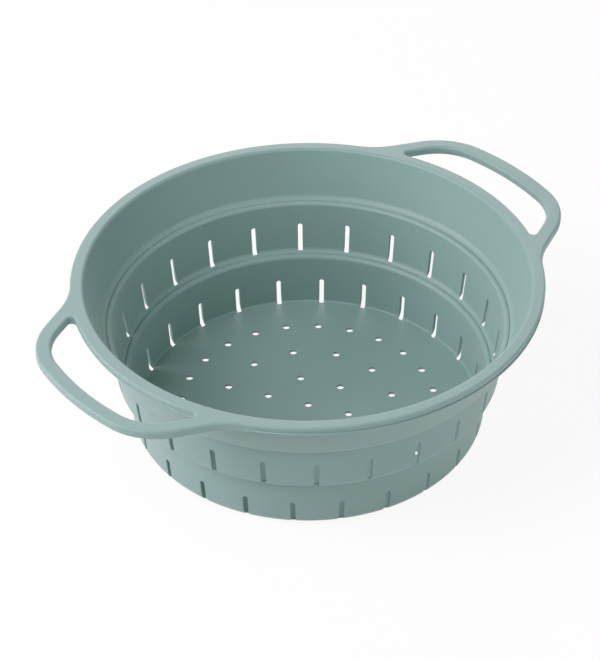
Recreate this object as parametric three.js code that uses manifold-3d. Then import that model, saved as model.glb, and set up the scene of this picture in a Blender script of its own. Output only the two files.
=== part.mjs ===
// Collapsible colander: a bowl in three rigid tiers that slide into each other, with two loop handles.
// Millimetres, +Z up. The origin is on the table under the centre, and the handles lie along X.

import * as THREE from 'three';
import { mergeVertices } from 'three/addons/utils/BufferGeometryUtils.js';
import Module from 'manifold-3d';

const wasm = await Module();
wasm.setup();

// Driving dimensions shared by the tiers
const wall = 2;
const fitGap = 0.3;
const floorRadius = 93.7;
const floorThickness = 1.8;
const baseDepth = 30.4;
const middleDepth = 30.9;
const upperDepth = 28.1;
const baseFlareDegrees = 4.5;
const middleFlareDegrees = 6.65;
const upperFlareDegrees = 17.2;

// Lip round the top of a tier, which sits flush in the ledge of the tier above it
const lipThickness = 1;
const lipOverhang = 1.1;
const lipEdgeRounding = 0.4;
const baseBeadRounding = 2.6;
const middleBeadRounding = 2;

// Ledge round the foot of a tier: its top falls inwards, and its underside is a cone
const ledgeWidth = 1.8;
const ledgeSlopeDegrees = 25;
const ledgeWeb = 1.9;
const undersideSlopeDegrees = 42;
const undersideRounding = 4;
const middleLedgeFillet = 3.2;
const upperLedgeFillet = 1.5;

// Edge of the floor
const floorFillet = 3;
const footRounding = 6;

// Drain slots and holes
const slotsPerTier = 24;
const slotWidth = 2.6;
const baseSlotDrop = 15.8;
const baseSlotFoot = 1.3;
const middleSlotDrop = 13.2;
const middleSlotFoot = 0.6;
const holeDiameter = 4;
const holeCounts = [6, 12, 24];

// Rim band and the flange that hangs the upper tier from it
const rimWidth = 7.4;
const rimThickness = 3.6;
const rimInnerRounding = 2;
const rimEdgeRounding = 1;
const flangeThickness = 0.9;
const flangeSetback = 0.3;
const flangeFillet = 1.5;
const tongueWidth = 1.4;
const tongueRise = 1.4;

// Loop handles, moulded with the rim band
const handleReach = 28.6;
const handleBandWidth = 8;
const handleThickness = 5;
const handleEndDegrees = 17.75;
const handleRootDegrees = 31.7;
const handleCornerRadius = 37.3;
const handleRootRadius = 42;
const handleTipRadius = 2.3;
const gripRounding = 3;

// Fineness of round shapes, and the length by which a cutting shape runs past what it cuts
const turnSteps = 72;
const holeSteps = 10;
const slotArcSteps = 2;
const fineSteps = 3;
const plainSteps = 2;
const coarseSteps = 1;
const barDegrees = 3.75;
const curveDegrees = 9;
const tipDegrees = 30;
const cutOverrun = 3;

// Shares: the most of a side that a rounding may take, and how far from the groove to the rim's edge
// the handles' plates start and their finger gaps dip in
const roundingShare = 0.9;
const plateStartShare = 0.3;
const gapDipShare = 0.1;

const sage = 0x8fa8a5;

const slopeOf = (degrees) => Math.tan(THREE.MathUtils.degToRad(degrees));
const origin = new THREE.Vector2();

// Heights above the table
const floorTop = floorThickness;
const baseTop = floorTop + baseDepth;
const middleTop = baseTop + middleDepth;
const rimTop = middleTop + upperDepth;
const rimUnderside = rimTop - rimThickness;
const flangeTop = rimUnderside - fitGap;

// A corner of a profile: its radius from the axis, its height, its rounding and the steps of that arc
const corner = (radius, height, rounding = 0, steps = plainSteps) => ({
  place: new THREE.Vector2(radius, height),
  rounding,
  steps,
});

// Points along an outline whose corners are rounded, each arc tangent to both of its sides
function roundedPoints(corners, closed) {
  const points = [];
  corners.forEach(({ place, rounding, steps }, index) => {
    const isEnd = !closed && (index === 0 || index === corners.length - 1);
    if (rounding === 0 || isEnd) {
      points.push(place.clone());
      return;
    }
    const before = corners[(index + corners.length - 1) % corners.length].place;
    const after = corners[(index + 1) % corners.length].place;
    const inward = before.clone().sub(place).normalize();
    const outward = after.clone().sub(place).normalize();
    const halfAngle = Math.acos(THREE.MathUtils.clamp(inward.dot(outward), -1, 1)) / 2;
    const room = Math.min(before.distanceTo(place), after.distanceTo(place));
    const setback = Math.min(rounding / Math.tan(halfAngle), room * roundingShare);
    const radius = setback * Math.tan(halfAngle);
    const bisector = inward.clone().add(outward).normalize();
    const centre = bisector.multiplyScalar(radius / Math.sin(halfAngle)).add(place);
    const start = inward.clone().multiplyScalar(setback).add(place).sub(centre);
    const end = outward.clone().multiplyScalar(setback).add(place).sub(centre);
    const turn = Math.atan2(start.cross(end), start.dot(end));
    for (let step = 0; step <= steps; step += 1) {
      const point = start.clone().rotateAround(origin, (turn * step) / steps);
      points.push(point.add(centre));
    }
  });
  return points;
}

// A ring or a bowl turned about Z. Its profile runs up the outside, over the top and down the inside.
function turned(corners, closed) {
  const points = roundedPoints(corners, closed);
  if (closed) points.push(points[0].clone());
  return new THREE.LatheGeometry(points, turnSteps).rotateX(Math.PI / 2);
}

function toSolid(geometry) {
  geometry.deleteAttribute('normal');
  geometry.deleteAttribute('uv');
  const merged = mergeVertices(geometry);
  const order = merged.index.array;
  const triangles = [];
  for (let first = 0; first < order.length; first += 3) {
    const [a, b, c] = order.slice(first, first + 3);
    if (a !== b && b !== c && c !== a) triangles.push(a, b, c);
  }
  return new wasm.Manifold(new wasm.Mesh({
    numProp: 3,
    vertProperties: merged.attributes.position.array,
    triVerts: Uint32Array.from(triangles),
  }));
}

function toMesh(name, solid) {
  const { vertProperties, triVerts } = solid.getMesh();
  const geometry = new THREE.BufferGeometry();
  geometry.setAttribute('position', new THREE.BufferAttribute(Float32Array.from(vertProperties), 3));
  geometry.setIndex(new THREE.BufferAttribute(Uint32Array.from(triVerts), 1));
  geometry.computeVertexNormals();
  const material = new THREE.MeshStandardMaterial({ color: sage, roughness: 0.55, metalness: 0 });
  const mesh = new THREE.Mesh(geometry, material);
  mesh.name = name;
  return mesh;
}

// Radii of the tapered walls at a height. Each tier is measured from the smaller one that it slides over.
const baseInner = (height) => floorRadius + (height - floorTop) * slopeOf(baseFlareDegrees);
const baseOuter = (height) => baseInner(height) + wall;
const baseLipRadius = baseOuter(baseTop - lipThickness) + lipOverhang;

// Where the wall above a ledge would meet the ledge's sloping top
function ledgeCorner(lipRadius, lipTop) {
  const radius = lipRadius + fitGap + ledgeWidth;
  return new THREE.Vector2(radius, lipTop + ledgeWidth * slopeOf(ledgeSlopeDegrees));
}

const middleCorner = ledgeCorner(baseLipRadius, baseTop);
const middleInner = (height) => middleCorner.x + (height - middleCorner.y) * slopeOf(middleFlareDegrees);
const middleOuter = (height) => middleInner(height) + wall;
const middleLipRadius = middleOuter(middleTop - lipThickness) + lipOverhang;

const upperCorner = ledgeCorner(middleLipRadius, middleTop);
const upperInner = (height) => upperCorner.x + (height - upperCorner.y) * slopeOf(upperFlareDegrees);
const upperWall = wall / Math.cos(THREE.MathUtils.degToRad(upperFlareDegrees));
const upperOuter = (height) => upperInner(height) + upperWall;

const rimInnerRadius = upperInner(rimTop - rimInnerRounding);
const rimRadius = rimInnerRadius + rimWidth;
const tongueRadius = (rimInnerRadius + rimRadius) / 2;
const halfTongue = tongueWidth / 2;
const grooveOuter = tongueRadius + halfTongue + fitGap;
const grooveInner = tongueRadius - halfTongue - fitGap;

// The lip and the bead on its inner edge, from the wall's outside to its inside
function lipCorners(outerAt, innerAt, lipRadius, lipTop, beadRounding) {
  const underside = lipTop - lipThickness;
  return [
    corner(outerAt(underside), underside),
    corner(lipRadius, underside),
    corner(lipRadius, lipTop, lipEdgeRounding, coarseSteps),
    corner(innerAt(lipTop), lipTop, beadRounding),
  ];
}

// The ledge that hooks under the lip of the smaller tier, from the wall's inside to its outside
function ledgeCorners({ wallFoot, outerAt, flareDegrees, innerOuterAt, lipRadius, lipTop, fillet }) {
  const seatHeight = lipTop - lipThickness - fitGap;
  const foot = seatHeight - ledgeWeb;
  const edgeRadius = lipRadius + fitGap;
  const footRadius = innerOuterAt(foot) + fitGap;
  const coneSlope = slopeOf(undersideSlopeDegrees);
  const coneRun = (outerAt(foot) - footRadius) / (1 - slopeOf(flareDegrees) * coneSlope);
  return [
    corner(wallFoot.x, wallFoot.y, fillet),
    corner(edgeRadius, lipTop),
    corner(edgeRadius, seatHeight),
    corner(innerOuterAt(seatHeight) + fitGap, seatHeight),
    corner(footRadius, foot),
    corner(footRadius + coneRun, foot + coneRun * coneSlope, undersideRounding),
  ];
}

// One drain slot, lying along X: an upright slit with an arched top and a round inner end
function slotCutter(innerEnd, outerEnd, foot, top) {
  const halfWidth = slotWidth / 2;
  const arch = new THREE.Shape();
  arch.moveTo(-halfWidth, foot);
  arch.lineTo(halfWidth, foot);
  arch.absarc(0, top - halfWidth, halfWidth, 0, Math.PI);
  arch.closePath();
  const archPrism = new THREE.ExtrudeGeometry(arch, {
    depth: outerEnd - innerEnd,
    bevelEnabled: false,
    curveSegments: slotArcSteps,
  });
  archPrism.rotateX(Math.PI / 2).rotateZ(Math.PI / 2).translate(innerEnd, 0, 0);
  const plan = new THREE.Shape();
  plan.absarc(innerEnd + halfWidth, 0, halfWidth, Math.PI / 2, 3 * Math.PI / 2);
  plan.lineTo(outerEnd + cutOverrun, -halfWidth);
  plan.lineTo(outerEnd + cutOverrun, halfWidth);
  plan.closePath();
  const planPrism = new THREE.ExtrudeGeometry(plan, {
    depth: top - foot + 2 * cutOverrun,
    bevelEnabled: false,
    curveSegments: slotArcSteps,
  });
  planPrism.translate(0, 0, foot - cutOverrun);
  return toSolid(archPrism).intersect(toSolid(planPrism));
}

function cutSlots(solid, cutter, firstShare) {
  let cut = solid;
  for (let index = 0; index < slotsPerTier; index += 1) {
    const turnDegrees = (360 * (index + firstShare)) / slotsPerTier;
    cut = cut.subtract(cutter.rotate([0, 0, turnDegrees]));
  }
  return cut;
}

function baseCup() {
  const cup = turned([
    corner(0, 0),
    corner(baseOuter(0), 0, footRounding, fineSteps),
    ...lipCorners(baseOuter, baseInner, baseLipRadius, baseTop, baseBeadRounding),
    corner(floorRadius, floorTop, floorFillet),
    corner(0, floorTop),
  ], false);
  const innerEnd = floorRadius - baseSlotFoot;
  const slot = slotCutter(innerEnd, baseLipRadius + cutOverrun, -cutOverrun, baseTop - baseSlotDrop);
  let solid = cutSlots(toSolid(cup), slot, 0);
  const holeLength = floorThickness + 2 * cutOverrun;
  const hole = toSolid(new THREE.CylinderGeometry(holeDiameter / 2, holeDiameter / 2, holeLength, holeSteps)
    .rotateX(Math.PI / 2).translate(0, 0, floorThickness / 2));
  solid = solid.subtract(hole);
  const ringPitch = floorRadius / (holeCounts.length + 1);
  holeCounts.forEach((count, ring) => {
    const moved = hole.translate([ringPitch * (ring + 1), 0, 0]);
    for (let index = 0; index < count; index += 1) {
      solid = solid.subtract(moved.rotate([0, 0, (360 * index) / count]));
    }
  });
  return toMesh('base_cup', solid);
}

function middleRing() {
  const ring = turned([
    ...lipCorners(middleOuter, middleInner, middleLipRadius, middleTop, middleBeadRounding),
    ...ledgeCorners({
      wallFoot: middleCorner,
      outerAt: middleOuter,
      flareDegrees: middleFlareDegrees,
      innerOuterAt: baseOuter,
      lipRadius: baseLipRadius,
      lipTop: baseTop,
      fillet: middleLedgeFillet,
    }),
  ], true);
  const innerEnd = baseLipRadius + fitGap + middleSlotFoot;
  const foot = baseTop - lipThickness - fitGap - ledgeWeb - cutOverrun;
  const slot = slotCutter(innerEnd, middleLipRadius + cutOverrun, foot, middleTop - middleSlotDrop);
  return toMesh('middle_ring', cutSlots(toSolid(ring), slot, 0.5));
}

function upperRing() {
  const flangeUnderside = flangeTop - flangeThickness;
  const flangeRadius = rimRadius - flangeSetback;
  const tongueTop = flangeTop + fitGap + tongueRise;
  const ring = turned([
    corner(upperOuter(flangeUnderside), flangeUnderside, flangeFillet, coarseSteps),
    corner(flangeRadius, flangeUnderside),
    corner(flangeRadius, flangeTop),
    corner(tongueRadius + halfTongue, flangeTop),
    corner(tongueRadius + halfTongue, tongueTop),
    corner(tongueRadius - halfTongue, tongueTop),
    corner(tongueRadius - halfTongue, flangeTop),
    corner(upperInner(flangeTop), flangeTop),
    ...ledgeCorners({
      wallFoot: upperCorner,
      outerAt: upperOuter,
      flareDegrees: upperFlareDegrees,
      innerOuterAt: middleOuter,
      lipRadius: middleLipRadius,
      lipTop: middleTop,
      fillet: upperLedgeFillet,
    }),
  ], true);
  return toMesh('upper_ring', toSolid(ring));
}

// Where a handle's arcs are centred. The outer side of its leg is a straight line from the rim
// to the end of the bar.
function handlePlan() {
  const barRadius = rimRadius + handleReach;
  const root = new THREE.Vector2(rimRadius, 0)
    .rotateAround(origin, THREE.MathUtils.degToRad(handleRootDegrees));
  const end = new THREE.Vector2(barRadius, 0)
    .rotateAround(origin, THREE.MathUtils.degToRad(handleEndDegrees));
  const along = end.clone().sub(root).normalize();
  const across = new THREE.Vector2(-along.y, along.x);
  const legDistance = root.dot(across);
  const innerLegDistance = legDistance - handleBandWidth;
  const centreAt = (fromAxis, fromLine) => across.clone().multiplyScalar(fromLine)
    .add(along.clone().multiplyScalar(Math.sqrt(fromAxis ** 2 - fromLine ** 2)));
  const cornerCentre = centreAt(barRadius - handleCornerRadius, legDistance - handleCornerRadius);
  const rootCentre = centreAt(rimRadius + handleRootRadius, legDistance + handleRootRadius);
  const tipCentre = centreAt(rimRadius + handleTipRadius, innerLegDistance - handleTipRadius);
  return {
    barRadius,
    legAngle: across.angle(),
    barAngle: cornerCentre.angle(),
    rootAngle: rootCentre.angle(),
    tipAngle: tipCentre.angle(),
    cornerCentre,
    rootCentre,
    tipCentre,
  };
}

// Points along an arc, the last one left to what follows it
function arcPoints(centre, radius, from, to, degreesPerStep) {
  const steps = Math.max(1, Math.round(THREE.MathUtils.radToDeg(Math.abs(to - from)) / degreesPerStep));
  return Array.from({ length: steps }, (unused, step) => {
    const angle = from + ((to - from) * step) / steps;
    return new THREE.Vector2(radius, 0).rotateAround(origin, angle).add(centre);
  });
}

const mirrored = (centre) => new THREE.Vector2(centre.x, -centre.y);

// A handle's outer outline, counterclockwise from one root to the other and back inside the rim band
function handleOutline() {
  const { barRadius, legAngle, barAngle, rootAngle, cornerCentre, rootCentre } = handlePlan();
  const insideBand = THREE.MathUtils.lerp(grooveOuter, rimRadius, plateStartShare);
  const nearRoot = mirrored(rootCentre);
  return [
    ...arcPoints(nearRoot, handleRootRadius, Math.PI - rootAngle, Math.PI - legAngle, curveDegrees),
    ...arcPoints(mirrored(cornerCentre), handleCornerRadius, -legAngle, -barAngle, curveDegrees),
    ...arcPoints(origin, barRadius, -barAngle, barAngle, barDegrees),
    ...arcPoints(cornerCentre, handleCornerRadius, barAngle, legAngle, curveDegrees),
    ...arcPoints(rootCentre, handleRootRadius, Math.PI + legAngle, Math.PI + rootAngle, curveDegrees),
    new THREE.Vector2(rimRadius, 0).rotateAround(origin, rootAngle),
    ...arcPoints(origin, insideBand, rootAngle, -rootAngle, barDegrees),
    new THREE.Vector2(insideBand, 0).rotateAround(origin, -rootAngle),
  ];
}

// The finger gap, whose tips run out on the rim band and whose long side dips into it
function openingOutline() {
  const { barRadius, legAngle, barAngle, tipAngle, cornerCentre, tipCentre } = handlePlan();
  const innerCorner = handleCornerRadius - handleBandWidth;
  const farTip = arcPoints(
    mirrored(tipCentre),
    handleTipRadius,
    Math.PI - tipAngle,
    2 * Math.PI - legAngle,
    tipDegrees,
  );
  const insideBand = THREE.MathUtils.lerp(grooveOuter, rimRadius, gapDipShare);
  return [
    ...arcPoints(origin, barRadius - handleBandWidth, -barAngle, barAngle, barDegrees),
    ...arcPoints(cornerCentre, innerCorner, barAngle, legAngle, curveDegrees),
    ...arcPoints(tipCentre, handleTipRadius, legAngle, Math.PI + tipAngle, tipDegrees),
    new THREE.Vector2(rimRadius, 0).rotateAround(origin, tipAngle),
    ...arcPoints(origin, insideBand, tipAngle, -tipAngle, barDegrees),
    new THREE.Vector2(insideBand, 0).rotateAround(origin, -tipAngle),
    new THREE.Vector2(rimRadius, 0).rotateAround(origin, -tipAngle),
    ...farTip.slice(1),
    ...arcPoints(mirrored(cornerCentre), innerCorner, -legAngle, -barAngle, curveDegrees),
  ];
}

// A closed body through copies of an outline. Each level gives how far a point moves outwards
// and the height at which it lies.
function lofted(outline, levels) {
  const count = outline.length;
  const positions = [];
  levels.forEach(({ shift, height }) => outline.forEach((point, index) => {
    const after = outline[(index + 1) % count];
    const before = outline[(index + count - 1) % count];
    const outward = new THREE.Vector2(after.y - before.y, before.x - after.x).setLength(shift(point));
    positions.push(point.x + outward.x, point.y + outward.y, height(point));
  }));
  const order = [];
  for (let level = 0; level + 1 < levels.length; level += 1) {
    for (let index = 0; index < count; index += 1) {
      const a = level * count + index;
      const b = level * count + ((index + 1) % count);
      order.push(a, b, b + count, a, b + count, a + count);
    }
  }
  const lastLevel = (levels.length - 1) * count;
  THREE.ShapeUtils.triangulateShape(outline, []).forEach(([a, b, c]) => {
    order.push(a, c, b, lastLevel + a, lastLevel + b, lastLevel + c);
  });
  const geometry = new THREE.BufferGeometry();
  geometry.setAttribute('position', new THREE.Float32BufferAttribute(positions, 3));
  geometry.setIndex(order);
  return geometry;
}

// Levels of a quarter-round edge at a face. Side is -1 on a body and 1 on a cut, up is 1 on a top face.
function roundedEdge(faceHeight, up, side, radiusAt) {
  const levels = Array.from({ length: plainSteps + 1 }, (unused, step) => {
    const angle = (Math.PI / 2) * (step / plainSteps);
    return {
      shift: (point) => side * radiusAt(point) * (1 - Math.cos(angle)),
      height: (point) => faceHeight - up * radiusAt(point) * (1 - Math.sin(angle)),
    };
  });
  return up > 0 ? levels : levels.reverse();
}

function rimBand() {
  const grooveTop = rimUnderside + tongueRise + fitGap;
  return toSolid(turned([
    corner(grooveOuter, rimUnderside),
    corner(rimRadius, rimUnderside, rimEdgeRounding, coarseSteps),
    corner(rimRadius, rimTop, rimEdgeRounding),
    corner(upperInner(rimTop), rimTop, rimInnerRounding),
    corner(upperInner(rimUnderside), rimUnderside),
    corner(grooveInner, rimUnderside),
    corner(grooveInner, grooveTop),
    corner(grooveOuter, grooveTop),
  ], true));
}

function handleLoop() {
  const underside = rimTop - handleThickness;
  const gripStart = rimRadius + handleTipRadius;
  const gripEnd = rimRadius + handleReach - handleBandWidth;
  const plainEdge = () => rimEdgeRounding;
  const gripEdge = (point) => THREE.MathUtils.lerp(
    rimEdgeRounding,
    gripRounding,
    THREE.MathUtils.smoothstep(point.length(), gripStart, gripEnd),
  );
  const plate = lofted(handleOutline(), [
    ...roundedEdge(underside, -1, -1, plainEdge),
    ...roundedEdge(rimTop, 1, -1, plainEdge),
  ]);
  const opening = lofted(openingOutline(), [
    { shift: plainEdge, height: () => underside - cutOverrun },
    ...roundedEdge(underside, -1, 1, plainEdge),
    ...roundedEdge(rimTop, 1, 1, gripEdge),
    { shift: gripEdge, height: () => rimTop + cutOverrun },
  ]);
  const underRim = turned([
    corner(0, underside - cutOverrun),
    corner(rimRadius + rimEdgeRounding, underside - cutOverrun),
    corner(rimRadius + rimEdgeRounding, rimUnderside),
    corner(0, rimUnderside),
  ], false);
  return toSolid(plate).subtract(toSolid(opening)).subtract(toSolid(underRim));
}

function handleRim() {
  const loop = handleLoop();
  return toMesh('handle_rim', rimBand().add(loop).add(loop.rotate([0, 0, 180])));
}

const colander = new THREE.Group();
colander.add(baseCup());
colander.add(middleRing());
colander.add(upperRing());
colander.add(handleRim());

export default colander;
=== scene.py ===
import math

import bmesh
import bpy
from mathutils import Matrix, Vector


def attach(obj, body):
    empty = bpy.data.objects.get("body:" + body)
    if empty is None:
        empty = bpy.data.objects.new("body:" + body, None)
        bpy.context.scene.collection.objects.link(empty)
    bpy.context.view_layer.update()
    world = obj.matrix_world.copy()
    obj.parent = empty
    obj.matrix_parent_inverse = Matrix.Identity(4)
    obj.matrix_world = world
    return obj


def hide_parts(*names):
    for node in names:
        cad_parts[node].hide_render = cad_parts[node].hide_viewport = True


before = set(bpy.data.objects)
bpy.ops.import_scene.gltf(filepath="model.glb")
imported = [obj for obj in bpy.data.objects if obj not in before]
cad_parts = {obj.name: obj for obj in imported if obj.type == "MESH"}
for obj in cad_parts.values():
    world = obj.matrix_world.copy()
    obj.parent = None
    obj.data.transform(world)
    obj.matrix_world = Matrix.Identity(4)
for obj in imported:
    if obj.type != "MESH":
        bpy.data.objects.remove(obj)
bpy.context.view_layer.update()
mm = 0.001
upward = Vector((0, 0, 1))
meetDistance = 0.01  # points closer than this are one, in millimetres
keyDigits = 2  # decimals of a millimetre that tell two places in a plan apart
arcDegrees = 10  # of a profile's rounding, for each of its faces
sharpAngle = 50  # degrees; a sharper edge isn't shaded smooth
levelShare = 0.99  # a face lies level when its normal is at least this much upright


# shared by the tiers, in millimetres and degrees; the sizes are those of the construction, and
# only the hidden ledges and the small roundings differ from it
tiers = {
    "wall": 2.0,
    "gap": 0.3,  # between tiers that slide in each other
    "lineGap": 0.05,  # what shows of it beside a lip, as a soft line
    "floorRadius": 93.7,
    "floorThickness": 1.8,
    "baseDepth": 30.4,
    "middleDepth": 30.9,
    "upperDepth": 28.1,
    "baseFlare": 4.5,  # from upright
    "middleFlare": 6.65,
    "upperFlare": 17.2,
    "lipThickness": 1.0,
    "lipOverhang": 1.1,
    "lipRounding": 0.4,
    "ledgeWidth": 1.8,
    "ledgeSlope": 25,  # the ledge's top falls inwards
    "ledgeRounding": 0.25,  # of the ledge's upper edge, beside the lip
    "coneSlope": 37,  # the ledge's underside
    "coneRounding": 4.0,
    "tipRounding": 0.2,
    "slotCount": 24,
    "slotWidth": 2.6,
    "slotChamfer": 0.35,
    "chamferSteps": 2,
    "archSteps": 32,  # faces of a whole circle as wide as a slot
    "sectorSteps": 10,  # faces along one slot's share of the wall
    "overrun": 3,  # how far the cutter runs past what it cuts
}


def slopeOf(degrees):
    return math.tan(math.radians(degrees))


def wallAt(startRadius, startHeight, flare):  # the radius of a tapered wall at a height
    return lambda height: startRadius + (height - startHeight) * slopeOf(flare)


def ledgeCorner(lipRadius, lipTop):  # where the wall above would meet the ledge's sloping top
    width = tiers["ledgeWidth"]
    return lipRadius + tiers["gap"] + width, lipTop + width * slopeOf(tiers["ledgeSlope"])


baseTop = tiers["floorThickness"] + tiers["baseDepth"]
middleTop = baseTop + tiers["middleDepth"]
rimTop = middleTop + tiers["upperDepth"]
baseInner = wallAt(tiers["floorRadius"], tiers["floorThickness"], tiers["baseFlare"])
baseOuter = wallAt(tiers["floorRadius"] + tiers["wall"], tiers["floorThickness"],
                   tiers["baseFlare"])
baseLip = baseOuter(baseTop - tiers["lipThickness"]) + tiers["lipOverhang"]
middleFoot = ledgeCorner(baseLip, baseTop)
middleInner = wallAt(*middleFoot, tiers["middleFlare"])
middleOuter = wallAt(middleFoot[0] + tiers["wall"], middleFoot[1], tiers["middleFlare"])
middleLip = middleOuter(middleTop - tiers["lipThickness"]) + tiers["lipOverhang"]
upperFoot = ledgeCorner(middleLip, middleTop)
upperInner = wallAt(*upperFoot, tiers["upperFlare"])
upperWall = tiers["wall"] / math.cos(math.radians(tiers["upperFlare"]))  # measured level
upperOuter = wallAt(upperFoot[0] + upperWall, upperFoot[1], tiers["upperFlare"])


# modelling helpers, which work in millimetres until finishPiece turns the mesh to metres
def drawProfile(bm, corners, closed):
    # a corner is (radius, height, rounding), and a rounding is an arc tangent to both sides
    verts = [bm.verts.new((radius, 0, height)) for radius, height, _ in corners]
    for pair in zip(verts, verts[1:]):
        bm.edges.new(pair)
    if closed:
        bm.edges.new((verts[-1], verts[0]))
    for vert, (_, _, rounding) in zip(list(verts), corners):
        if not rounding:
            continue
        before, after = (edge.other_vert(vert).co - vert.co for edge in vert.link_edges)
        corner = before.angle(after)
        steps = max(2, round(math.degrees(math.pi - corner) / arcDegrees))
        bmesh.ops.bevel(bm, geom=[vert], offset=rounding / math.tan(corner / 2),
                        offset_type="OFFSET", segments=steps, profile=0.5, affect="VERTICES",
                        material=-1)


def spinProfile(bm, corners, closed, steps, degrees=360):
    drawProfile(bm, corners, closed)
    start = Matrix.Rotation(math.radians(-degrees / 2), 3, "Z")
    bmesh.ops.rotate(bm, verts=bm.verts, cent=(0, 0, 0), matrix=start)
    bmesh.ops.spin(bm, geom=list(bm.verts) + list(bm.edges), cent=(0, 0, 0), axis=upward,
                   angle=math.radians(degrees), steps=steps, use_merge=degrees == 360)


def turnedCopies(bm, count, firstDegrees):
    original = list(bm.verts) + list(bm.edges) + list(bm.faces)
    for index in range(1, count):
        made = bmesh.ops.duplicate(bm, geom=original)["geom"]
        turn = Matrix.Rotation(2 * math.pi * index / count, 3, "Z")
        bmesh.ops.rotate(bm, verts=vertsIn(made), cent=(0, 0, 0), matrix=turn)
    bmesh.ops.rotate(bm, verts=bm.verts, cent=(0, 0, 0),
                     matrix=Matrix.Rotation(math.radians(firstDegrees), 3, "Z"))
    bmesh.ops.remove_doubles(bm, verts=bm.verts, dist=meetDistance)


def vertsIn(geometry):
    return [item for item in geometry if isinstance(item, bmesh.types.BMVert)]


def edgesIn(geometry):
    return [item for item in geometry if isinstance(item, bmesh.types.BMEdge)]


def radiusOf(vert):
    return vert.co.to_2d().length


def meshFrom(bm, name):
    bmesh.ops.recalc_face_normals(bm, faces=bm.faces)
    mesh = bpy.data.meshes.new(name)
    bm.to_mesh(mesh)
    bm.free()
    return mesh


def linkObject(name, mesh):
    obj = bpy.data.objects.new(name, mesh)
    bpy.context.scene.collection.objects.link(obj)
    return obj


def cutAway(mesh, tool):  # the faces made by the tool have material index 1
    body = linkObject("body", mesh)
    cutter = linkObject("cutter", tool)
    for obj, index in ((body, 0), (cutter, 1)):
        for name in ("kept", "cut"):
            material = bpy.data.materials.get(name) or bpy.data.materials.new(name)
            obj.data.materials.append(material)
        for polygon in obj.data.polygons:
            polygon.material_index = index
    modifier = body.modifiers.new("slit", "BOOLEAN")
    modifier.object = cutter
    modifier.operation = "DIFFERENCE"
    modifier.solver = "EXACT"
    graph = bpy.context.evaluated_depsgraph_get()
    result = bpy.data.meshes.new_from_object(body.evaluated_get(graph))
    bpy.data.objects.remove(body)
    bpy.data.objects.remove(cutter)
    return result


def slotCutter(innerEnd, outerEnd, foot, top):  # an upright slit, arched at the top
    half = tiers["slotWidth"] / 2
    bm = bmesh.new()
    bmesh.ops.create_circle(bm, cap_ends=True, segments=tiers["archSteps"], radius=half)
    for vert in bm.verts:
        if vert.co.x > meetDistance:
            vert.co.x = top - half - foot
            vert.co.y = math.copysign(half, vert.co.y + meetDistance)
    bmesh.ops.remove_doubles(bm, verts=bm.verts, dist=meetDistance)
    made = bmesh.ops.extrude_face_region(bm, geom=list(bm.faces))["geom"]
    bmesh.ops.translate(bm, verts=vertsIn(made), vec=(0, 0, outerEnd - innerEnd))
    mesh = meshFrom(bm, "slit")
    stand = Matrix.Rotation(math.pi / 2, 4, "Y")
    mesh.transform(Matrix.Translation((innerEnd, 0, top - half)) @ stand)
    return mesh


def slottedWall(corners, cutter, joinRadius=None):
    # one slot's share of a tier's wall, cut while it is closed, then opened at its ends
    sector = 360 / tiers["slotCount"]
    bm = bmesh.new()
    spinProfile(bm, corners, True, tiers["sectorSteps"], sector)
    bmesh.ops.holes_fill(bm, edges=[edge for edge in bm.edges if edge.is_boundary], sides=0)
    cut = cutAway(meshFrom(bm, "sector"), cutter)
    bm = bmesh.new()
    bm.from_mesh(cut)
    rims = [edge for edge in bm.edges
            if len({face.material_index for face in edge.link_faces}) == 2]
    bmesh.ops.bevel(bm, geom=rims, offset=tiers["slotChamfer"], offset_type="OFFSET",
                    segments=tiers["chamferSteps"], profile=0.5, affect="EDGES", material=-1,
                    clamp_overlap=False)

    def isEnd(face):  # at the sector's sides, or where the wall's foot meets the flat floor
        turns = [math.degrees(math.atan2(vert.co.y, vert.co.x)) for vert in face.verts]
        if all(abs(abs(turn) - sector / 2) < meetDistance for turn in turns):
            return True
        return joinRadius and all(abs(radiusOf(vert) - joinRadius) < meetDistance
                                  for vert in face.verts)

    ends = [face for face in bm.faces if isEnd(face)]
    bmesh.ops.delete(bm, geom=ends, context="FACES")
    return bm


def finishPiece(name, bm, node, body):
    mesh = meshFrom(bm, name)
    mesh.transform(Matrix.Scale(mm, 4))
    for polygon in mesh.polygons:
        polygon.use_smooth = True
        polygon.material_index = 0
    mesh.set_sharp_from_angle(angle=math.radians(sharpAngle))
    piece = linkObject(name, mesh)
    mesh.materials.append(mouldedPlastic())
    weighted = piece.modifiers.new("evenShading", "WEIGHTED_NORMAL")
    weighted.keep_sharp = True
    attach(piece, body)
    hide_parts(node)
    print(name, "has", len(mesh.polygons), "faces")


# the plastic: polypropylene with a talc filling, injection moulded in a spark-eroded mould, which
# gives a satin surface with a fine even grain and no flow marks
plastic = {
    "name": "sage polypropylene",
    "colour": "739791",
    "paleColour": "7a9d97",
    "roughness": 0.46,
    "ior": 1.49,
    "specular": 0.3,
    "sheen": 0.15,  # the fine grain scatters a little white light
    "grainSize": 0.5,  # mm; the real grain is near 0.1, drawn coarser so that it shows
    "grainDepth": 0.02,  # mm
    "grainStrength": 0.25,
    "grainDetail": 2,
    "cloudSize": 60,  # mm, very faint change of shade over the moulding
    "cloudDetail": 1,
}


def linear(hexColour):
    values = [int(hexColour[place:place + 2], 16) / 255 for place in (0, 2, 4)]
    return [v / 12.92 if v <= 0.04045 else ((v + 0.055) / 1.055) ** 2.4 for v in values] + [1]


def addNode(tree, kind, settings=None, **links):
    node = tree.nodes.new(kind)
    for key, value in (settings or {}).items():
        if key in node.inputs:
            node.inputs[key].default_value = value
        else:
            setattr(node, key, value)
    for key, source in links.items():
        tree.links.new(source, node.inputs[key.replace("_", " ")])
    return node


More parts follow.
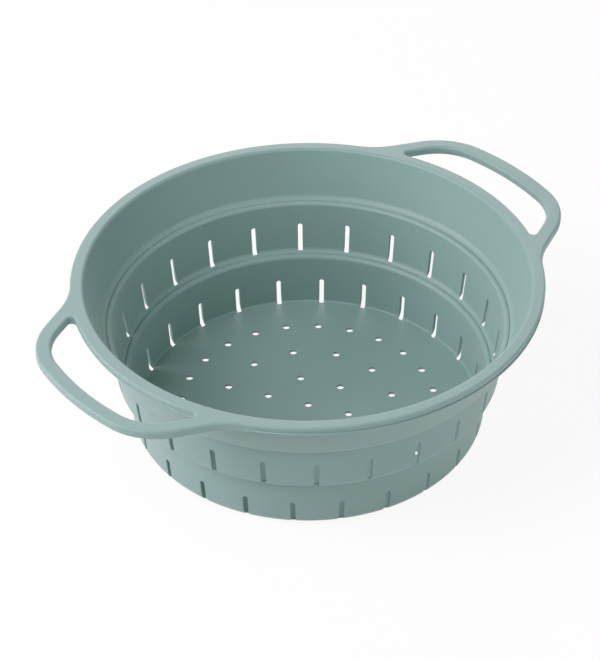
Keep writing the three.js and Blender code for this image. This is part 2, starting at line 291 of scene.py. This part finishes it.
def emptyMaterial(name):
    material = bpy.data.materials.new(name)
    material.use_nodes = True
    material.node_tree.nodes.clear()
    return material


def mouldedPlastic():
    if plastic["name"] in bpy.data.materials:
        return bpy.data.materials[plastic["name"]]
    material = emptyMaterial(plastic["name"])
    tree = material.node_tree
    place = addNode(tree, "ShaderNodeTexCoord").outputs["Object"]
    cloud, grain = (
        addNode(tree, "ShaderNodeTexNoise",
                {"Scale": 1 / (plastic[size] * mm), "Detail": plastic[detail]}, Vector=place)
        for size, detail in (("cloudSize", "cloudDetail"), ("grainSize", "grainDetail")))
    shade = addNode(tree, "ShaderNodeMix", {"data_type": "RGBA"})
    colours = [socket for socket in shade.inputs if socket.type == "RGBA"]
    colours[0].default_value = linear(plastic["colour"])
    colours[1].default_value = linear(plastic["paleColour"])
    tree.links.new(cloud.outputs["Fac"], shade.inputs["Factor"])
    bump = addNode(tree, "ShaderNodeBump",
                   {"Strength": plastic["grainStrength"], "Distance": plastic["grainDepth"] * mm},
                   Height=grain.outputs["Fac"])
    shader = addNode(tree, "ShaderNodeBsdfPrincipled",
                     {"Roughness": plastic["roughness"], "IOR": plastic["ior"],
                      "Specular IOR Level": plastic["specular"],
                      "Sheen Weight": plastic["sheen"]},
                     Normal=bump.outputs["Normal"])
    mixed = [socket for socket in shade.outputs if socket.type == "RGBA"][0]
    tree.links.new(mixed, shader.inputs["Base Color"])
    addNode(tree, "ShaderNodeOutputMaterial", Surface=shader.outputs["BSDF"])
    return material


# camera, at the photograph's viewing angle
view = {
    "imageHeight": 660,  # px
    "focalPixels": 2400,
    "sensor": 36,  # mm
    "tilt": 38.2,  # degrees below the horizon
    "heading": 39.85,  # degrees clockwise from +Y
    "roll": -0.48,
    "place": (-651.4, -773.9, 849.9),  # mm
    "nearest": 10,  # mm, what is closer isn't drawn
}


def buildCamera():
    data = bpy.data.cameras.new("camera")
    data.sensor_fit = "VERTICAL"
    data.sensor_height = view["sensor"]
    data.lens = view["focalPixels"] / view["imageHeight"] * view["sensor"]
    data.clip_start = view["nearest"] * mm
    camera = bpy.data.objects.new("camera", data)
    bpy.context.scene.collection.objects.link(camera)
    turn = Matrix.Rotation(math.radians(-view["heading"]), 4, "Z")
    nod = Matrix.Rotation(math.radians(90 - view["tilt"]), 4, "X")
    roll = Matrix.Rotation(math.radians(view["roll"]), 4, "Z")
    camera.matrix_world = Matrix.Translation(Vector(view["place"]) * mm) @ turn @ nod @ roll
    bpy.context.scene.camera = camera


buildCamera()
print("camera placed")


# studio: a low and a high soft box at the left, one at the right front, and one low behind, whose
# light skims the rim, the handles and the beads
studio = {
    "ambient": 0.3,
    "white": 1,  # the strength at which the background shows white
    "floorSize": 12,  # m
    "floorColour": "e8e8e8",
    "floorGlow": 0.9,  # the white's share of the floor in the picture, beside light and shadow
    "boxSize": 1.3,  # m
    "boxDistance": 2.2,  # m
    "boxColour": "ffe9ef",
    "lamps": {  # azimuth from +Y clockwise, height angle, watts
        "leftSoftBox": (-52, 22, 33),
        "highSoftBox": (-78, 50, 38),
        "rightSoftBox": (160, 24, 18),
        "backSoftBox": (40, 26, 14),
    },
}


def whereSeen(tree, unseen, seen):
    # one value for the rays that see the background, another for those that gather its light
    path = addNode(tree, "ShaderNodeLightPath")
    share = path.outputs["Is Camera Ray"]
    for ray in ("Is Glossy Ray", "Is Transmission Ray"):
        larger = addNode(tree, "ShaderNodeMath", {"operation": "MAXIMUM"})
        tree.links.new(share, larger.inputs[0])
        tree.links.new(path.outputs[ray], larger.inputs[1])
        share = larger.outputs[0]
    return addNode(tree, "ShaderNodeMapRange", {"To Min": unseen, "To Max": seen},
                   Value=share).outputs[0]


def placeLamps():
    for name, (azimuth, height, power) in studio["lamps"].items():
        data = bpy.data.lights.new(name, "AREA")
        data.shape = "DISK"
        data.size = studio["boxSize"]
        data.energy = power
        data.color = linear(studio["boxColour"])[:3]
        lamp = bpy.data.objects.new(name, data)
        bpy.context.scene.collection.objects.link(lamp)
        turn = Matrix.Rotation(math.radians(-azimuth), 4, "Z")
        lean = Matrix.Rotation(math.radians(-(90 - height)), 4, "X")
        lamp.matrix_world = turn @ lean @ Matrix.Translation((0, 0, studio["boxDistance"]))


def buildStudio():
    world = bpy.data.worlds.new("studio")
    world.use_nodes = True
    tree = world.node_tree
    background = tree.nodes["Background"]
    background.inputs["Color"].default_value = linear("ffffff")
    strength = whereSeen(tree, studio["ambient"], studio["white"])
    tree.links.new(strength, background.inputs["Strength"])
    bpy.context.scene.world = world
    placeLamps()
    bm = bmesh.new()
    bmesh.ops.create_grid(bm, x_segments=1, y_segments=1, size=studio["floorSize"] / 2)
    floor = linkObject("studioFloor", meshFrom(bm, "studioFloor"))
    material = emptyMaterial("white paper sweep")
    tree = material.node_tree
    paper = addNode(tree, "ShaderNodeBsdfDiffuse", {"Color": linear(studio["floorColour"])})
    glow = addNode(tree, "ShaderNodeEmission", {"Strength": studio["white"]})
    mix = addNode(tree, "ShaderNodeMixShader")
    share = whereSeen(tree, 0, studio["floorGlow"])
    for source, socket in zip((share, paper.outputs[0], glow.outputs[0]), mix.inputs):
        tree.links.new(source, socket)
    addNode(tree, "ShaderNodeOutputMaterial", Surface=mix.outputs[0])
    floor.data.materials.append(material)
    bpy.context.scene.view_settings.view_transform = "Standard"


buildStudio()
print("studio lit")


def lipCorners(outerAt, innerAt, lipRadius, lipTop, bead):
    underside = lipTop - tiers["lipThickness"]
    return [
        (outerAt(underside), underside, 0),
        (lipRadius, underside, 0),
        (lipRadius, lipTop, tiers["lipRounding"]),
        (innerAt(lipTop), lipTop, bead),
    ]


def ledgeCorners(piece, foot, outerAt, flare, innerOuterAt, lipRadius, lipTop):
    # the ledge at a piece's foot, round the lip of the tier inside it
    seat = lipTop - tiers["lipThickness"] - tiers["gap"]
    bottom = seat - piece["ledgeWeb"]
    edge = lipRadius + tiers["lineGap"]
    tip = innerOuterAt(bottom) + tiers["gap"]
    cone = slopeOf(tiers["coneSlope"])
    run = (outerAt(bottom) - tip) / (1 - slopeOf(flare) * cone)
    return [
        (*foot, piece["fillet"]),
        (edge, lipTop, tiers["ledgeRounding"]),
        (edge, seat, 0),
        (innerOuterAt(seat) + tiers["gap"], seat, 0),
        (tip, bottom, tiers["tipRounding"]),
        (tip + run, bottom + run * cone, tiers["coneRounding"]),
    ]


# base: the lowest tier and the perforated floor, one moulding
base = {
    "bead": 2.6,  # rounding of the lip towards the inside
    "floorFillet": 1.2,
    "footRounding": 6.8,
    "slotDrop": 15.8,  # from the lip's top to the slots' tops
    "slotFoot": 1.3,  # how far the slots run out on the floor
    "holeRadius": 2.0,
    "holeChamfer": 0.12,
    "holeFlare": 0.5,  # the holes widen below, so that drops let go
    "holeCounts": (1, 6, 12, 24),
    "holeSteps": 24,
    "joinRadius": 84,  # where the slotted wall's foot meets the flat floor
}


def buildFloor(bm):
    ringPitch = tiers["floorRadius"] / len(base["holeCounts"])
    top = tiers["floorThickness"]
    radius, chamfer, flare = base["holeRadius"], base["holeChamfer"], base["holeFlare"]
    corners = [
        (radius + flare, 0, 0),
        (radius, flare, 0),
        (radius, top, chamfer),
        (radius + chamfer, top, 0),
    ]
    sleeve = bmesh.new()
    spinProfile(sleeve, corners, False, base["holeSteps"])
    sleeveMesh = meshFrom(sleeve, "sleeve")
    for ring, count in enumerate(base["holeCounts"]):
        for index in range(count):
            known = set(bm.verts)
            bm.from_mesh(sleeveMesh)
            added = [vert for vert in bm.verts if vert not in known]
            turn = 2 * math.pi * index / count
            place = Vector((math.cos(turn), math.sin(turn), 0)) * ringPitch * ring
            bmesh.ops.translate(bm, verts=added, vec=place)
    for height in (0, top):
        edges = [edge for edge in bm.edges if edge.is_boundary
                 and all(abs(vert.co.z - height) < meetDistance for vert in edge.verts)]
        bmesh.ops.triangle_fill(bm, edges=edges, use_beauty=True, normal=upward)


def buildBase():
    corners = [
        (base["joinRadius"], 0, 0),
        (baseOuter(0), 0, base["footRounding"]),
        *lipCorners(baseOuter, baseInner, baseLip, baseTop, base["bead"]),
        (tiers["floorRadius"], tiers["floorThickness"], base["floorFillet"]),
        (base["joinRadius"], tiers["floorThickness"], 0),
    ]
    cutter = slotCutter(tiers["floorRadius"] - base["slotFoot"], baseLip + tiers["overrun"],
                        -tiers["overrun"], baseTop - base["slotDrop"])
    bm = slottedWall(corners, cutter, base["joinRadius"])
    turnedCopies(bm, tiers["slotCount"], 0)
    buildFloor(bm)
    bmesh.ops.remove_doubles(bm, verts=bm.verts, dist=meetDistance)
    finishPiece("baseTier", bm, "base_cup", "base")


buildBase()


# middle: the slotted ring that slides down over the base
middle = {
    "bead": 2.0,
    "fillet": 3.1,  # between the wall and the ledge
    "ledgeWeb": 0.5,  # the ledge's thickness under the lip
    "slotDrop": 13.2,
    "slotFoot": 1.3,  # where the slots end, outwards from the ledge's edge
    "turned": 0.35,  # degrees; the ring sits slightly turned on the base
}


def buildMiddle():
    corners = [
        *lipCorners(middleOuter, middleInner, middleLip, middleTop, middle["bead"]),
        *ledgeCorners(middle, middleFoot, middleOuter, tiers["middleFlare"],
                      baseOuter, baseLip, baseTop),
    ]
    ledgeBottom = baseTop - tiers["lipThickness"] - tiers["gap"] - middle["ledgeWeb"]
    cutter = slotCutter(baseLip + tiers["gap"] + middle["slotFoot"],
                        middleLip + tiers["overrun"], ledgeBottom - tiers["overrun"],
                        middleTop - middle["slotDrop"])
    bm = slottedWall(corners, cutter)
    turnedCopies(bm, tiers["slotCount"], 180 / tiers["slotCount"] - middle["turned"])
    finishPiece("middleTier", bm, "middle_ring", "middle")


buildMiddle()


# rim: the flat band round the mouth and the two loop handles, one moulding
rim = {
    "width": 7.4,
    "thickness": 3.6,
    "innerRounding": 2.0,
    "innerSteps": 8,
    "edgeRounding": 1.2,
    "sideDraft": 0.6,  # the band's side leans in towards its underside
    "handleReach": 28.5,
    "bandWidth": 8.0,
    "handleThickness": 5.0,
    "endDegrees": 18.05,  # where the leg's line would reach the end of the bar
    "rootDegrees": 32.05,  # where it would reach the rim
    "cornerRadius": 37.3,
    "rootRadius": 42.0,
    "tipRadius": 2.3,
    "gripRounding": 1.8,  # round the finger gap
    "outerGripRounding": 1.4,
    "underRounding": 1.0,
    "underFade": 4.0,  # the rounding underneath dies out this far before the rim
    "outlineMargin": 1.0,  # an edge further in than this from the band's side is the mouth's
    "roundSteps": 6,
    "arcStep": 1.5,  # degrees along the band
    "barSteps": 6,
    "bendSteps": 20,
    "rootSteps": 12,
}

rimUnderside = rimTop - rim["thickness"]
rimRadius = upperInner(rimTop - rim["innerRounding"]) + rim["width"]


def arcPlaces(centre, radius, start, end, count):  # along an arc, both ends included; radians
    turns = [start + (end - start) * index / count for index in range(count + 1)]
    return [centre + radius * Vector((math.cos(turn), math.sin(turn))) for turn in turns]


def polar(radius, degrees):
    return radius * Vector((math.cos(math.radians(degrees)), math.sin(math.radians(degrees))))


def handlePlan():
    # half a handle's outer side and its finger gap's side, from the bar's middle to the rim
    barRadius = rimRadius + rim["handleReach"]
    root = polar(rimRadius, rim["rootDegrees"])
    along = (polar(barRadius, rim["endDegrees"]) - root).normalized()
    across = Vector((-along.y, along.x))
    legAngle = math.atan2(across.y, across.x)
    line = root.dot(across)
    band, bend, flare, tip = (rim[key] for key in
                              ("bandWidth", "cornerRadius", "rootRadius", "tipRadius"))

    def centreAt(fromAxis, fromLine):
        centre = across * fromLine + along * math.sqrt(fromAxis ** 2 - fromLine ** 2)
        return centre, math.atan2(centre.y, centre.x)

    axis = Vector((0, 0))
    bendCentre, barAngle = centreAt(barRadius - bend, line - bend)
    flareCentre, rootAngle = centreAt(rimRadius + flare, line + flare)
    tipCentre, tipAngle = centreAt(rimRadius + tip, line - band - tip)
    outer = [
        *arcPlaces(axis, barRadius, 0, barAngle, rim["barSteps"]),
        *arcPlaces(bendCentre, bend, barAngle, legAngle, rim["bendSteps"]),
        *arcPlaces(flareCentre, flare, math.pi + legAngle, math.pi + rootAngle, rim["rootSteps"]),
    ]
    inner = [
        *arcPlaces(axis, barRadius - band, 0, barAngle, rim["barSteps"]),
        *arcPlaces(bendCentre, bend - band, barAngle, legAngle, rim["bendSteps"]),
        *arcPlaces(tipCentre, tip, legAngle, math.pi + tipAngle, rim["rootSteps"]),
    ]
    return outer, inner, rootAngle, tipAngle


def drawChain(bm, places):
    verts = [bm.verts.new((place.x, place.y, 0)) for index, place in enumerate(places)
             if index == 0 or (place - places[index - 1]).length > meetDistance]
    return [bm.edges.new(pair) for pair in zip(verts, verts[1:])]


def planRim(bm):
    # the flat plan of the band and both handles: a quarter of it, mirrored twice
    outer, inner, rootAngle, tipAngle = handlePlan()
    axis = Vector((0, 0))
    stops = [0, tipAngle, rootAngle, math.pi / 2]
    arcs = []
    for start, end in zip(stops, stops[1:]):
        steps = round(math.degrees(end - start) / rim["arcStep"])
        arcs.append(drawChain(bm, arcPlaces(axis, rimRadius, start, end, steps)))
    made = bmesh.ops.extrude_edge_only(bm, edges=sum(arcs, []))["geom"]
    shrink = upperInner(rimUnderside) / rimRadius
    bmesh.ops.scale(bm, verts=vertsIn(made), vec=(shrink, shrink, 1))
    outerSide, innerSide = drawChain(bm, outer[:-1]), drawChain(bm, inner[:-1])
    legs = rim["barSteps"] + rim["bendSteps"]
    bmesh.ops.bridge_loops(bm, edges=outerSide[:legs] + innerSide[:legs])
    tipArc, rootArc, flareArc = ([edges[0].verts[0], *(edge.verts[1] for edge in edges)]
                                 for edges in (innerSide[legs:], arcs[1], outerSide[legs:]))
    bm.faces.new([*tipArc, *rootArc, *reversed(flareArc)])
    for flip in ((1, -1, 1), (-1, 1, 1)):
        whole = list(bm.verts) + list(bm.edges) + list(bm.faces)
        made = bmesh.ops.duplicate(bm, geom=whole)["geom"]
        bmesh.ops.scale(bm, verts=vertsIn(made), vec=flip)
        flipped = [item for item in made if isinstance(item, bmesh.types.BMFace)]
        bmesh.ops.reverse_faces(bm, faces=flipped)
    bmesh.ops.remove_doubles(bm, verts=bm.verts, dist=meetDistance)
    bmesh.ops.recalc_face_normals(bm, faces=bm.faces)


def keyOf(place):
    return round(place.x, keyDigits), round(place.y, keyDigits)


def rollEdge(bm, faces, isRolled, radiusAt, direction):
    # rolls the outline of a flat region over in a quarter round, whose radius may change along it
    region = set(faces)
    inward = {}
    edges = []
    for face in region:
        for loop in face.loops:
            shared = sum(other in region for other in loop.edge.link_faces)
            if shared == 2 or not isRolled(loop.edge):
                continue
            edges.append(loop.edge)
            start, end = loop.vert.co, loop.link_loop_next.vert.co
            side = (end - start).normalized().cross(upward) * -face.normal.z
            for place in (start, end):
                inward[keyOf(place)] = inward.get(keyOf(place), Vector()) + side
    for side in inward.values():
        side.normalize()

    def roundingAt(place):
        return radiusAt(place, inward[keyOf(place)])

    level = edges[0].verts[0].co.z
    made = bmesh.ops.split_edges(bm, edges=edges)["edges"]
    split = set(made)
    flat = {vert for face in region for edge in face.edges if edge in split
            for vert in edge.verts}
    standing = [edge for edge in made if not any(face in region for face in edge.link_faces)]
    starts = {vert: vert.co.copy() for edge in standing for vert in edge.verts}
    for vert in flat:
        vert.co += inward[keyOf(vert.co)] * roundingAt(vert.co)
    for vert, place in starts.items():
        vert.co.z = level - direction * roundingAt(place)
    steps = rim["roundSteps"]
    current = standing
    for step in range(1, steps + 1):
        turn = math.pi / 2 * step / steps
        made = bmesh.ops.extrude_edge_only(bm, edges=current)["geom"]
        moved = {}
        for vert in vertsIn(made):
            below = next(edge.other_vert(vert) for edge in vert.link_edges
                         if edge.other_vert(vert) in starts)
            place = starts[below]
            radius = roundingAt(place)
            shift = inward[keyOf(place)] * radius * (1 - math.cos(turn))
            vert.co = (place.x + shift.x, place.y + shift.y,
                       level - direction * radius * (1 - math.sin(turn)))
            moved[vert] = place
        starts = moved
        current = edgesIn(made)
    bmesh.ops.remove_doubles(bm, verts=list(flat) + list(starts), dist=meetDistance)


def onRim(vert):
    return abs(radiusOf(vert) - rimRadius) < meetDistance


def topRounding(place, inward):
    # grows from the rim towards the bar, more round the finger gap than at the outer side
    start = rimRadius + rim["tipRadius"]
    end = rimRadius + rim["handleReach"] - rim["bandWidth"]
    share = min(1, max(0, (place.to_2d().length - start) / (end - start)))
    share = share * share * (3 - 2 * share)
    gapMiddle = Vector((math.copysign(rimRadius + (end - rimRadius) / 2, place.x), 0, place.z))
    facesGap = inward.dot(place - gapMiddle) > 0
    full = rim["gripRounding"] if facesGap else rim["outerGripRounding"]
    return rim["edgeRounding"] + (full - rim["edgeRounding"]) * share


def underRounding(place, _):
    return rim["underRounding"] * min(1, (place.to_2d().length - rimRadius) / rim["underFade"])


def thickenRim(bm):
    # the flat plan gets its thickness, the handles hang lower than the band, and the band's side
    # and its inner edge get their slopes
    bmesh.ops.translate(bm, verts=bm.verts, vec=(0, 0, rimUnderside))
    bottom = list(bm.faces)
    handles = [face for face in bottom
               if all(radiusOf(vert) > rimRadius - meetDistance for vert in face.verts)]
    if bottom[0].normal.z > 0:
        bmesh.ops.reverse_faces(bm, faces=bottom)
    made = bmesh.ops.extrude_face_region(bm, geom=bottom, use_keep_orig=True)["geom"]
    bmesh.ops.translate(bm, verts=vertsIn(made), vec=(0, 0, rim["thickness"]))
    mouth = upperInner(rimUnderside)
    widen = upperInner(rimTop) / mouth
    lip = [vert for vert in vertsIn(made) if abs(radiusOf(vert) - mouth) < meetDistance]
    bmesh.ops.scale(bm, verts=lip, vec=(widen, widen, 1))
    made = bmesh.ops.extrude_face_region(bm, geom=handles)["geom"]
    lower = rim["thickness"] - rim["handleThickness"]
    bmesh.ops.translate(bm, verts=vertsIn(made), vec=(0, 0, lower))
    covered = [face for face in handles if face.is_valid]
    bmesh.ops.delete(bm, geom=covered, context="FACES")
    bmesh.ops.recalc_face_normals(bm, faces=bm.faces)
    atUnderside = rimUnderside - meetDistance
    free = [vert for vert in bm.verts if onRim(vert)
            and abs(vert.co.z - rimUnderside) < meetDistance
            and all(edge.other_vert(vert).co.z > atUnderside for edge in vert.link_edges)]
    drafted = 1 - rim["sideDraft"] / rimRadius
    bmesh.ops.scale(bm, verts=free, vec=(drafted, drafted, 1))


def roundMouth(bm):
    mouth = upperInner(rimTop)
    edges = [edge for edge in bm.edges if all(
        abs(radiusOf(vert) - mouth) < meetDistance and vert.co.z > rimTop - meetDistance
        for vert in edge.verts)]
    corner = math.radians(90 + tiers["upperFlare"])
    bmesh.ops.bevel(bm, geom=edges, offset=rim["innerRounding"] / math.tan(corner / 2),
                    offset_type="OFFSET", segments=rim["innerSteps"], profile=0.5,
                    affect="EDGES", material=-1)


def buildRim():
    bm = bmesh.new()
    planRim(bm)
    thickenRim(bm)
    roundMouth(bm)
    top = [face for face in bm.faces if face.normal.z > levelShare
           and all(vert.co.z > rimTop - meetDistance for vert in face.verts)]
    outline = rimRadius - rim["outlineMargin"]
    rollEdge(bm, top, lambda edge: all(radiusOf(vert) > outline for vert in edge.verts),
             topRounding, 1)
    inset = 1 - rim["edgeRounding"] / rimRadius
    seam = {vert for face in top for vert in face.verts if onRim(vert)}
    bmesh.ops.scale(bm, verts=list(seam), vec=(inset, inset, 1))
    handleUnderside = rimTop - rim["handleThickness"]
    under = [face for face in bm.faces if face.normal.z < -levelShare
             and all(vert.co.z < handleUnderside + meetDistance for vert in face.verts)]
    rollEdge(bm, under, lambda edge: not all(onRim(vert) for vert in edge.verts),
             underRounding, -1)
    bmesh.ops.holes_fill(bm, edges=[edge for edge in bm.edges if edge.is_boundary], sides=0)
    finishPiece("rimAndHandles", bm, "handle_rim", "upper")


buildRim()


# upper: the plain flared ring, hung from the rim band by its flange
upper = {
    "fillet": 3.9,
    "ledgeWeb": 1.5,
    "flangeThickness": 1.2,
    "flangeSetback": 0.05,
    "flangeRounding": 0.45,
    "flangeFillet": 1.5,
    "seam": 0.02,  # under the rim band
    "steps": 240,
}


def buildUpper():
    flangeTop = rimUnderside - upper["seam"]
    flangeUnderside = rimUnderside - upper["flangeThickness"]
    flangeRadius = rimRadius - upper["flangeSetback"]
    corners = [
        (upperOuter(flangeUnderside), flangeUnderside, upper["flangeFillet"]),
        (flangeRadius, flangeUnderside, upper["flangeRounding"]),
        (flangeRadius, flangeTop, upper["flangeRounding"]),
        (upperInner(flangeTop), flangeTop, 0),
        *ledgeCorners(upper, upperFoot, upperOuter, tiers["upperFlare"],
                      middleOuter, middleLip, middleTop),
    ]
    bm = bmesh.new()
    spinProfile(bm, corners, True, upper["steps"])
    finishPiece("upperTier", bm, "upper_ring", "upper")


buildUpper()
